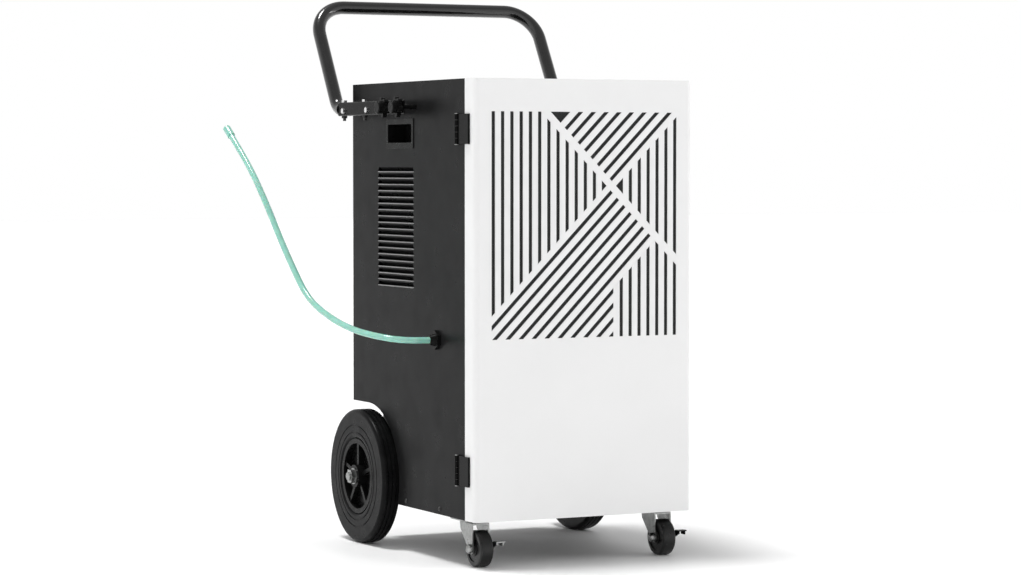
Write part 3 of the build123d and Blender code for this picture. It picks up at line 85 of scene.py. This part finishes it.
class Shade:
    """A Principled material whose colour, roughness and bump come from object-space noise."""

    def __init__(self, name, rough=0.5, metal=0.0, coat=0.0, coat_rough=0.1, specular=0.5):
        self.mat = bpy.data.materials.new(name)
        self.mat.use_nodes = True
        self.tree = self.mat.node_tree
        self.bsdf = self.tree.nodes["Principled BSDF"]
        self.bsdf.inputs["Roughness"].default_value = rough
        self.bsdf.inputs["Metallic"].default_value = metal
        self.bsdf.inputs["Coat Weight"].default_value = coat
        self.bsdf.inputs["Coat Roughness"].default_value = coat_rough
        self.bsdf.inputs["Specular IOR Level"].default_value = specular
        self.coords = self.node("ShaderNodeTexCoord").outputs["Object"]

    def node(self, kind, **values):
        made = self.tree.nodes.new(kind)
        for key, value in values.items():
            setattr(made, key, value)
        return made

    def link(self, a, b):
        self.tree.links.new(a, b)

    def noise(self, scale, detail=3.0, stretch=(1.0, 1.0, 1.0)):
        place = self.node("ShaderNodeMapping")
        place.inputs["Scale"].default_value = stretch
        self.link(self.coords, place.inputs["Vector"])
        tex = self.node("ShaderNodeTexNoise")
        tex.inputs["Scale"].default_value = scale
        tex.inputs["Detail"].default_value = detail
        self.link(place.outputs["Vector"], tex.inputs["Vector"])
        return tex.outputs["Fac"]

    def cells(self, scale):
        tex = self.node("ShaderNodeTexVoronoi")
        tex.inputs["Scale"].default_value = scale
        self.link(self.coords, tex.inputs["Vector"])
        return tex.outputs["Color"]

    def ramp(self, fac, low, high, start=0.3, end=0.7):
        ramp = self.node("ShaderNodeValToRGB")
        ramp.color_ramp.elements[0].color = (*low, 1.0)
        ramp.color_ramp.elements[1].color = (*high, 1.0)
        ramp.color_ramp.elements[0].position = start
        ramp.color_ramp.elements[1].position = end
        self.link(fac, ramp.inputs["Fac"])
        return ramp.outputs["Color"]

    def colour(self, low, high, scale, start=0.3, end=0.7):
        self.link(self.ramp(self.noise(scale), low, high, start, end), self.bsdf.inputs["Base Color"])
        return self

    def roughness(self, low, high, scale, stretch=(1.0, 1.0, 1.0)):
        span = self.node("ShaderNodeMapRange")
        span.inputs["From Min"].default_value = 0.3
        span.inputs["From Max"].default_value = 0.7
        span.inputs["To Min"].default_value = low
        span.inputs["To Max"].default_value = high
        self.link(self.noise(scale, stretch=stretch), span.inputs["Value"])
        self.link(span.outputs["Result"], self.bsdf.inputs["Roughness"])
        return self

    def grain(self, scale, strength, stretch=(1.0, 1.0, 1.0)):
        bump = self.node("ShaderNodeBump")
        bump.inputs["Strength"].default_value = strength
        bump.inputs["Distance"].default_value = GRAIN_DEPTH
        self.link(self.noise(scale, detail=2.0, stretch=stretch), bump.inputs["Height"])
        self.link(bump.outputs["Normal"], self.bsdf.inputs["Normal"])
        return self


def grey(value):
    return (value, value, value)


ARM_LOW, ARM_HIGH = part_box("right_arm")
BOLT_SPLIT_Z = (ARM_LOW.z + ARM_HIGH.z) / 2 - 0.008  # bright heads above, black nuts below
# hinge_pins take bright zinc as a painted highlight: the shine along the hinge barrel
NODE_FINISH = {"arm_bolts": "bolt_zinc", "handle_tube": "tube_paint", "hinge_pins": "zinc"}


def make_materials():
    made = {}
    white = Shade("white_paint", rough=0.42, specular=0.3)
    white.colour(grey(0.83), grey(0.85), 6.0).roughness(0.38, 0.48, 30.0).grain(900.0, 0.10)
    made["white_paint"] = white
    body = Shade("charcoal_paint", rough=0.3, specular=0.05)
    body.colour((0.008, 0.008, 0.0083), (0.011, 0.011, 0.0113), 9.0).roughness(0.26, 0.38, 24.0)
    body.grain(1100.0, 0.06)
    made["charcoal_paint"] = body
    black = Shade("black_paint", rough=0.2, specular=0.05)
    black.colour(grey(0.005), grey(0.007), 40.0).roughness(0.12, 0.20, 60.0).grain(700.0, 0.05)
    made["black_paint"] = black
    tube = Shade("tube_paint", rough=0.2, coat=0.7, coat_rough=0.05, specular=0.4)
    tube.colour(grey(0.004), grey(0.007), 40.0).roughness(0.14, 0.24, 60.0).grain(700.0, 0.05)
    made["tube_paint"] = tube
    moulded = Shade("black_plastic", rough=0.4, specular=0.08)
    moulded.colour(grey(0.004), grey(0.007), 120.0).roughness(0.24, 0.36, 80.0).grain(2600.0, 0.15)
    made["black_plastic"] = moulded
    gloss = Shade("gloss_black", rough=0.12, coat=0.8, coat_rough=0.04)
    gloss.colour(grey(0.008), grey(0.011), 50.0).roughness(0.10, 0.18, 40.0)
    made["gloss_black"] = gloss
    button = Shade("button_grey", rough=0.5)
    button.colour(grey(0.24), grey(0.28), 200.0).grain(3000.0, 0.2)
    made["button_grey"] = button
    rubber = Shade("rubber", rough=0.4, specular=0.35)
    rubber.colour(grey(0.005), grey(0.009), 60.0).roughness(0.25, 0.40, 90.0).grain(1800.0, 0.12)
    made["rubber"] = rubber
    tyre = Shade("tyre", rough=0.4, specular=0.06)
    tyre.colour((0.005, 0.005, 0.0052), (0.009, 0.009, 0.0093), 30.0)
    tyre.roughness(0.24, 0.38, 45.0).grain(1500.0, 0.10)
    made["tyre"] = tyre
    zinc = Shade("zinc", rough=0.32, metal=1.0)
    zinc.colour((0.26, 0.265, 0.26), (0.38, 0.385, 0.38), 140.0).roughness(0.24, 0.42, 70.0)
    zinc.grain(1400.0, 0.12)
    made["zinc"] = zinc
    galv = Shade("galvanised", rough=0.45, metal=1.0)
    galv.link(galv.ramp(galv.cells(70.0), (0.36, 0.37, 0.38), (0.55, 0.56, 0.57), 0.0, 1.0),
              galv.bsdf.inputs["Base Color"])
    galv.roughness(0.38, 0.55, 90.0)
    made["galvanised"] = galv
    fins = Shade("aluminium", rough=0.4, metal=1.0)
    fins.colour((0.62, 0.63, 0.64), (0.76, 0.77, 0.78), 300.0).roughness(0.3, 0.5, 50.0, (1.0, 1.0, 30.0))
    fins.grain(400.0, 0.2, (20.0, 1.0, 1.0))
    made["aluminium"] = fins
    copper = Shade("copper", rough=0.3, metal=1.0)
    copper.colour((0.62, 0.27, 0.15), (0.80, 0.38, 0.22), 90.0).roughness(0.22, 0.42, 60.0)
    made["copper"] = copper
    hose = Shade("hose", rough=0.16, specular=0.6)
    hose.colour((0.26, 0.57, 0.47), (0.32, 0.64, 0.54), 70.0)
    hose.grain(60.0, 0.04)
    hose.bsdf.inputs["Subsurface Weight"].default_value = 0.3
    hose.bsdf.inputs["Subsurface Scale"].default_value = 0.004
    made["hose"] = hose
    # light grey louvre lips: a painted highlight along each lip
    lip = Shade("lip_painted_highlight", rough=0.3, specular=0.5)
    lip.colour(grey(0.17), grey(0.26), 260.0)
    made["lip_painted_highlight"] = lip
    screw = Shade("screw_black", rough=0.3, metal=0.6)
    screw.colour(grey(0.03), grey(0.05), 300.0)
    made["screw_black"] = screw
    bolt = Shade("bolt_zinc", rough=0.3)
    split = bolt.node("ShaderNodeSeparateXYZ")
    bolt.link(bolt.coords, split.inputs["Vector"])
    upper = bolt.node("ShaderNodeMath", operation="GREATER_THAN")
    upper.inputs[1].default_value = BOLT_SPLIT_Z
    bolt.link(split.outputs["Z"], upper.inputs[0])
    bolt.link(upper.outputs["Value"], bolt.bsdf.inputs["Metallic"])
    bolt.link(bolt.ramp(upper.outputs["Value"], grey(0.015), grey(0.72), 0.0, 1.0),
              bolt.bsdf.inputs["Base Color"])
    bolt.roughness(0.22, 0.36, 200.0)
    made["bolt_zinc"] = bolt
    window = Shade("display", rough=0.06, coat=1.0, coat_rough=0.02)
    window.colour((0.003, 0.006, 0.009), (0.005, 0.009, 0.013), 30.0)
    made["display"] = window
    mesh = Shade("filter_mesh", rough=0.6)
    mesh.colour(grey(0.020), grey(0.032), 200.0).grain(1500.0, 0.3)
    made["filter_mesh"] = mesh
    tray = Shade("tray_plastic", rough=0.5)
    tray.colour(grey(0.08), grey(0.10), 60.0).grain(2200.0, 0.15)
    made["tray_plastic"] = tray
    return {name: shade.mat for name, shade in made.items()}


MATERIALS = make_materials()
SLOT_OF = {row["node"]: row["material_slot"] for row in frame["record"]["subparts"]}


def finish_cad_nodes():
    for name, obj in nodes.items():
        if not obj.data.materials:
            obj.data.materials.append(None)
        for index in range(len(obj.data.materials)):
            obj.data.materials[index] = MATERIALS[NODE_FINISH.get(name, SLOT_OF[name])]


finish_cad_nodes()


# ---------------------------------------------------------------- mesh helpers
def piece(name, bm, slot, body, smooth=30.0, finish=None):
    """A new object from bm that rides on body and takes its finish from slot."""
    bmesh.ops.recalc_face_normals(bm, faces=bm.faces)
    data = bpy.data.meshes.new(name)
    bm.to_mesh(data)
    bm.free()
    obj = bpy.data.objects.new(name, data)
    scene.collection.objects.link(obj)
    data.materials.append(MATERIALS[finish or slot])
    data.shade_smooth()
    data.set_sharp_from_angle(angle=radians(smooth))
    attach(obj, body)
    return obj


def add_bar(bm, low, high):
    """A closed box between two corners, added to bm."""
    made = bmesh.ops.create_cube(bm, size=1.0)["verts"]
    size = Vector(high) - Vector(low)
    middle = (Vector(high) + Vector(low)) / 2
    bmesh.ops.scale(bm, vec=size, verts=made)
    bmesh.ops.translate(bm, vec=middle, verts=made)


def add_rings(bm, rings, place, axis):
    """A closed turned shape: each ring is (radius at an angle, height along the axis)."""
    steps = 48
    turn = Vector((0.0, 0.0, 1.0)).rotation_difference(Vector(axis)).to_matrix()
    loops = []
    for radius, height in rings:
        loop = []
        for i in range(steps):
            angle = 2 * pi * i / steps
            r = radius(angle) if callable(radius) else radius
            loop.append(bm.verts.new(Vector(place) + turn @ Vector((r * cos(angle), r * sin(angle), height))))
        loops.append(loop)
    for low, high in zip(loops, loops[1:]):
        for i in range(steps):
            bm.faces.new((low[i], low[(i + 1) % steps], high[(i + 1) % steps], high[i]))
    bm.faces.new(loops[0])
    bm.faces.new(loops[-1])


def hexagon(across):
    """Radius of a hexagon of that width across its flats, at an angle."""
    return lambda angle: across / 2 / cos((angle % (pi / 3)) - pi / 6)


# ---------------------------------------------------------------- drain hose
FRONT = cad_box[0][1]
HOSE_DIAMETER = 0.0115
HOSE_ROUTE = (
    (-0.2325, 0.154, 0.395),
    (-0.2795, 0.154, 0.395),
    (-0.3190, 0.187, 0.402),
    (-0.3380, 0.262, 0.412),
    (-0.3520, 0.339, 0.434),
    (-0.3610, 0.405, 0.463),
    (-0.3670, 0.457, 0.514),
    (-0.3730, 0.508, 0.571),
    (-0.3800, 0.566, 0.642),
    (-0.3860, 0.634, 0.709),
    (-0.3920, 0.704, 0.761),
)


def add_hose():
    curve = bpy.data.curves.new("hose_tube", "CURVE")
    curve.dimensions = "3D"
    curve.bevel_depth = HOSE_DIAMETER / 2
    curve.bevel_resolution = 6
    curve.use_fill_caps = True
    spline = curve.splines.new("NURBS")
    spline.points.add(len(HOSE_ROUTE) - 1)
    for point, (x, y, z) in zip(spline.points, HOSE_ROUTE):
        point.co = (x, FRONT + y, z, 1.0)
    spline.order_u = 3
    spline.use_endpoint_u = True
    spline.resolution_u = 16
    obj = bpy.data.objects.new("hose_tube", curve)
    scene.collection.objects.link(obj)
    curve.materials.append(MATERIALS["hose"])
    x, y, z = HOSE_ROUTE[0]
    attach(obj, "cabinet")
    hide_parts("drain_hose")


add_hose()


# ---------------------------------------------------------------- woven screen behind the grille
def add_door_screen():
    low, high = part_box("door_mesh")
    pitch = 0.0026
    wire = 0.0009
    border = 0.006
    middle = (low.y + high.y) / 2
    bm = bmesh.new()
    x = low.x + border
    while x < high.x - border:
        add_bar(bm, (x, middle - wire, low.z + 0.002), (x + wire, middle, high.z - 0.002))
        x += pitch
    z = low.z + border
    while z < high.z - border:
        add_bar(bm, (low.x + 0.002, middle, z), (high.x - 0.002, middle + wire * 0.8, z + wire))
        z += pitch
    for x0, x1, z0, z1 in (
        (low.x, low.x + border, low.z, high.z),
        (high.x - border, high.x, low.z, high.z),
        (low.x + border, high.x - border, low.z, low.z + border),
        (low.x + border, high.x - border, high.z - border, high.z),
    ):
        add_bar(bm, (x0, low.y, z0), (x1, high.y, z1))
    screen = piece("door_screen", bm, "filter_mesh", "door")
    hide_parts("door_mesh")


add_door_screen()


# ---------------------------------------------------------------- cabinet details
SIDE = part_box("right_side_panel")[1].x
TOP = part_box("top_cover")[1].z
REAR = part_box("rear_panel")[1].y
LOUVRE_COUNT = 19
LOUVRE_PITCH = 0.01164
LOUVRE_GAP = 0.0076
LOUVRE_LENGTH = 0.160
LIP_REACH = 0.0016
LIP_HALF_HEIGHT = 0.0011
VENT_DROP = 0.257
LOUVRE_TOP = TOP - 0.155
LOUVRE_Y = FRONT + 0.3315


def add_louvre_lips():
    """The rolled lip under each louvre, coloured light grey as a painted highlight where light from above
    catches it.
    """
    bm = bmesh.new()
    arc = 7
    stations = (0.0, 0.012, 0.03, 0.5, 0.97, 0.988, 1.0)
    swell = (0.15, 0.7, 1.0, 1.0, 1.0, 0.7, 0.15)
    for sign in (-1, 1):
        for n in range(LOUVRE_COUNT):
            z = LOUVRE_TOP - LOUVRE_GAP - n * LOUVRE_PITCH - 0.0007
            loops = []
            for t, size in zip(stations, swell):
                y = LOUVRE_Y + (t - 0.5) * LOUVRE_LENGTH
                loop = []
                for k in range(arc):
                    turn = pi * k / (arc - 1)
                    x = SIDE - 0.0003 + LIP_REACH * size * sin(turn)
                    loop.append(bm.verts.new((sign * x, y, z - LIP_HALF_HEIGHT * size * cos(turn))))
                loops.append(loop)
            for a, b in zip(loops, loops[1:]):
                for k in range(arc):
                    bm.faces.new((a[k], a[(k + 1) % arc], b[(k + 1) % arc], b[k]))
            bm.faces.new(loops[0])
            bm.faces.new(loops[-1])
    # the lips take the light grey of the painted highlight
    piece("louvre_lips", bm, "charcoal_paint", "cabinet", smooth=60.0, finish="lip_painted_highlight")


def add_shade_screen(name, centre, size, normal):
    """A dark screen of crossed wires behind a vent, painted shade standing for the dark inside of the
    cabinet; size is (width, height), normal is "x" or "y".
    """
    pitch = 0.0021
    wire = 0.0011
    bm = bmesh.new()
    flat = 0 if normal == "x" else 1
    along = 1 - flat

    def bar(low, depth, start, end):
        a = [0.0, 0.0, start[1]]
        b = [0.0, 0.0, end[1]]
        a[along], b[along] = start[0], end[0]
        a[flat], b[flat] = low, low + depth
        add_bar(bm, a, b)

    left = centre[along] - size[0] / 2
    foot = centre[2] - size[1] / 2
    for i in range(int(size[0] / pitch)):
        at = left + i * pitch
        bar(centre[flat], wire, (at, foot), (at + wire, foot + size[1]))
    for i in range(int(size[1] / pitch)):
        at = foot + i * pitch
        bar(centre[flat] + wire * 0.9, wire, (left, at), (left + size[0], at + wire))
    piece(name, bm, "filter_mesh", "cabinet")


# dark screens behind the louvres and the rear vent: painted shade for the cabinet's dark interior
def add_shade_screens():
    height = LOUVRE_COUNT * LOUVRE_PITCH + 0.012
    middle = LOUVRE_TOP - (LOUVRE_COUNT * LOUVRE_PITCH) / 2
    for name, sign in (("left_louvre_shade_screen", -1), ("right_louvre_shade_screen", 1)):
        add_shade_screen(name, (sign * (SIDE - 0.013), LOUVRE_Y, middle), (0.176, height), "x")
    add_shade_screen("rear_vent_shade_screen", (0.0, REAR - 0.0105, TOP - VENT_DROP), (0.33, 0.15), "y")


def add_screws():
    """Button-head screws with a hexagon socket, in place of the plain heads."""
    bm = bmesh.new()
    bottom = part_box("door_shell")[0].z
    arch_top = 0.262
    panel_top = TOP - 0.0015
    spots = []
    for sign in (-1, 1):
        for y in (FRONT + 0.144, FRONT + 0.287):
            spots.append(((sign * SIDE, y, bottom + 0.010), (sign, 0, 0)))
        for i in range(4):
            z = arch_top + 0.020 + i * (panel_top - arch_top - 0.044) / 3
            spots.append(((sign * (SIDE - 0.008), REAR, z), (0, 1, 0)))
    socket = hexagon(0.0030)
    rings = ((0.0019, -0.0042), (0.0019, 0.0), (0.0042, 0.0), (0.0042, 0.0005), (0.0037, 0.0014),
             (0.0028, 0.0019), (0.0022, 0.0020), (socket, 0.0020), (socket, 0.0007))
    for place, axis in spots:
        add_rings(bm, rings, place, axis)
    screws = piece("socket_screws", bm, "zinc", "cabinet", finish="screw_black")
    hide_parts("panel_screws")


def add_caster_nuts():
    """A domed hexagon nut over each caster axle's outer end."""
    for name in ("left", "right"):
        fork_low, fork_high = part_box(f"{name}_caster_fork")
        wheel_low, wheel_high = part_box(f"{name}_caster_wheel")
        bm = bmesh.new()
        flats = hexagon(0.0146)
        place = (fork_low.x - 0.0012, (wheel_low.y + wheel_high.y) / 2, (wheel_low.z + wheel_high.z) / 2)
        rings = ((flats, -0.0045), (flats, 0.0004), (0.0070, 0.0014), (0.0055, 0.0026), (0.0030, 0.0036),
                 (0.0008, 0.0040))
        add_rings(bm, rings, place, (-1, 0, 0))
        piece(f"{name}_caster_nut", bm, "zinc", f"{name}_caster")


add_louvre_lips()
add_shade_screens()
add_screws()
add_caster_nuts()


# ---------------------------------------------------------------- floor, light
SUN_DIRECTION = Vector((0.17, -0.14, -0.96))


def add_stage():
    bm = bmesh.new()
    bmesh.ops.create_grid(bm, x_segments=4, y_segments=4, size=30.0)
    data = bpy.data.meshes.new("floor")
    bm.to_mesh(data)
    bm.free()
    floor = bpy.data.objects.new("floor", data)
    scene.collection.objects.link(floor)
    shade = Shade("floor", rough=0.6, specular=0.2)
    shade.colour(grey(0.955), grey(0.965), 3.0)
    data.materials.append(shade.mat)


def add_light(name, place, target, size, power):
    data = bpy.data.lights.new(name, "AREA")
    data.shape = "RECTANGLE"
    data.size, data.size_y = size
    data.energy = power
    light = bpy.data.objects.new(name, data)
    light.location = place
    light.rotation_euler = (Vector(target) - Vector(place)).to_track_quat("-Z", "Y").to_euler()
    scene.collection.objects.link(light)


def add_lighting():
    world = bpy.data.worlds.new("world")
    world.use_nodes = True
    scene.world = world
    back = world.node_tree.nodes["Background"]
    back.inputs["Strength"].default_value = 1.0
    # a white band round the horizon, dimmer overhead
    tree = world.node_tree
    place = tree.nodes.new("ShaderNodeTexCoord")
    split = tree.nodes.new("ShaderNodeSeparateXYZ")
    ramp = tree.nodes.new("ShaderNodeValToRGB")
    ramp.color_ramp.elements[0].position = 0.25
    ramp.color_ramp.elements[0].color = (1.0, 1.0, 1.0, 1.0)
    ramp.color_ramp.elements[1].position = 0.6
    ramp.color_ramp.elements[1].color = (0.5, 0.5, 0.5, 1.0)
    tree.links.new(place.outputs["Generated"], split.inputs["Vector"])
    tree.links.new(split.outputs["Z"], ramp.inputs["Fac"])
    tree.links.new(ramp.outputs["Color"], back.inputs["Color"])
    sun = bpy.data.lights.new("sun", "SUN")
    sun.energy = 2.2
    sun.angle = radians(16.0)
    lamp = bpy.data.objects.new("sun", sun)
    lamp.rotation_euler = SUN_DIRECTION.to_track_quat("-Z", "Y").to_euler()
    scene.collection.objects.link(lamp)
    add_light("strip", (3.6, -1.9, 1.3), (0.0, 0.0, 0.6), (0.08, 2.4), 14.0)
    scene.view_settings.view_transform = "Standard"


add_stage()
add_lighting()
